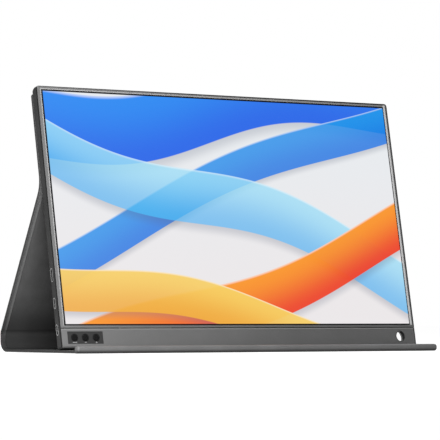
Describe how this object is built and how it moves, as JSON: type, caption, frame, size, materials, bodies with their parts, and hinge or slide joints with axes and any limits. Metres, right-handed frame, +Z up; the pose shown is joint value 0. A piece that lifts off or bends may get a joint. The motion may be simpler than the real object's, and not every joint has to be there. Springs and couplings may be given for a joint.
{
  "type": "portable monitor with cover",
  "caption": "Slim portable monitor standing tilted in its folding cover, with round menu buttons, side sockets and a pen hole in the lower strip.",
  "frame": {"origin": "on the table, under the middle of the cover's base", "axes": "+X to the viewer's right along the screen, +Y from the screen to the stand behind it, +Z up"},
  "size_m": [0.3584, 0.1302, 0.2171],
  "materials": {
    "cover_skin": "grained",
    "cover_lining": "suede",
    "cover_board": "matt",
    "casing": "satin anodised",
    "black_plastic": "matt",
    "screen": "lit",
    "clear_plastic": "clear",
    "sheet_steel": "plain",
    "magnet": "plated",
    "circuit_board": "lacquered",
    "flat_cable": "plain"
  },
  "bodies": {
    "base": {"base_skin": "cover_skin", "base_lining": "cover_lining", "base_board": "cover_board", "front_bead": "cover_skin", "base_crease": "cover_skin"},
    "spine": {"spine_strip": "cover_skin", "spine_crease": "cover_skin"},
    "support": {"support_skin": "cover_skin", "support_lining": "cover_lining", "support_board": "cover_board", "upper_crease": "cover_skin"},
    "menu_key": {"menu_button": "black_plastic"},
    "minus_key": {"minus_button": "black_plastic"},
    "plus_key": {"plus_button": "black_plastic"},
    "display": {"back_panel_skin": "cover_skin", "back_panel_lining": "cover_lining", "back_panel_board": "cover_board", "rear_cover": "casing", "front_bezel": "casing", "chin_cover": "casing", "button_plate": "black_plastic", "pen_hole_sleeve": "black_plastic", "port_tongues": "black_plastic", "speaker_left": "black_plastic", "speaker_right": "black_plastic", "lcd_glass": "screen", "optical_films": "clear_plastic", "light_guide": "clear_plastic", "reflector_sheet": "clear_plastic", "backlight_tray": "sheet_steel", "mini_hdmi_port": "sheet_steel", "usb_c_port_upper": "sheet_steel", "usb_c_port_lower": "sheet_steel", "board_screws": "sheet_steel", "dome_switches": "sheet_steel", "cover_magnets": "magnet", "monitor_magnets": "magnet", "driver_board": "circuit_board", "mainboard": "circuit_board", "button_board": "circuit_board", "led_strip": "circuit_board", "ribbon_cable": "flat_cable"}
  },
  "joints": [
    {"name": "stand_fold", "type": "hinge", "parent": "base", "child": "spine", "pos_m": [0, 0.0639, 0.0012], "axis": [-1, 0, 0], "range_deg": [0, 90], "deforming": ["base_crease"]},
    {"name": "spine_bend", "type": "hinge", "parent": "spine", "child": "support", "pos_m": [0, 0.0639, 0.016], "axis": [-1, 0, 0], "range_deg": [0, 29.28], "deforming": ["spine_crease"]},
    {"name": "back_bend", "type": "hinge", "parent": "support", "child": "display", "pos_m": [0, -0.00161, 0.13525], "axis": [-1, 0, 0], "range_deg": [-40.72, 0], "deforming": ["upper_crease"]},
    {"name": "menu_press", "type": "slide", "parent": "display", "child": "menu_key", "axis": [0, 0.9801, -0.1983], "range_m": [0, 0.0004], "stiffness_N_per_m": 800, "springref_m": -0.0004},
    {"name": "minus_press", "type": "slide", "parent": "display", "child": "minus_key", "axis": [0, 0.9801, -0.1983], "range_m": [0, 0.0004], "stiffness_N_per_m": 800, "springref_m": -0.0004},
    {"name": "plus_press", "type": "slide", "parent": "display", "child": "plus_key", "axis": [0, 0.9801, -0.1983], "range_m": [0, 0.0004], "stiffness_N_per_m": 800, "springref_m": -0.0004}
  ],
  "couplings": [
    {"joint": "spine_bend", "follows": "stand_fold", "ratio": 0.31979},
    {"joint": "back_bend", "follows": "stand_fold", "ratio": -0.4469}
  ]
}
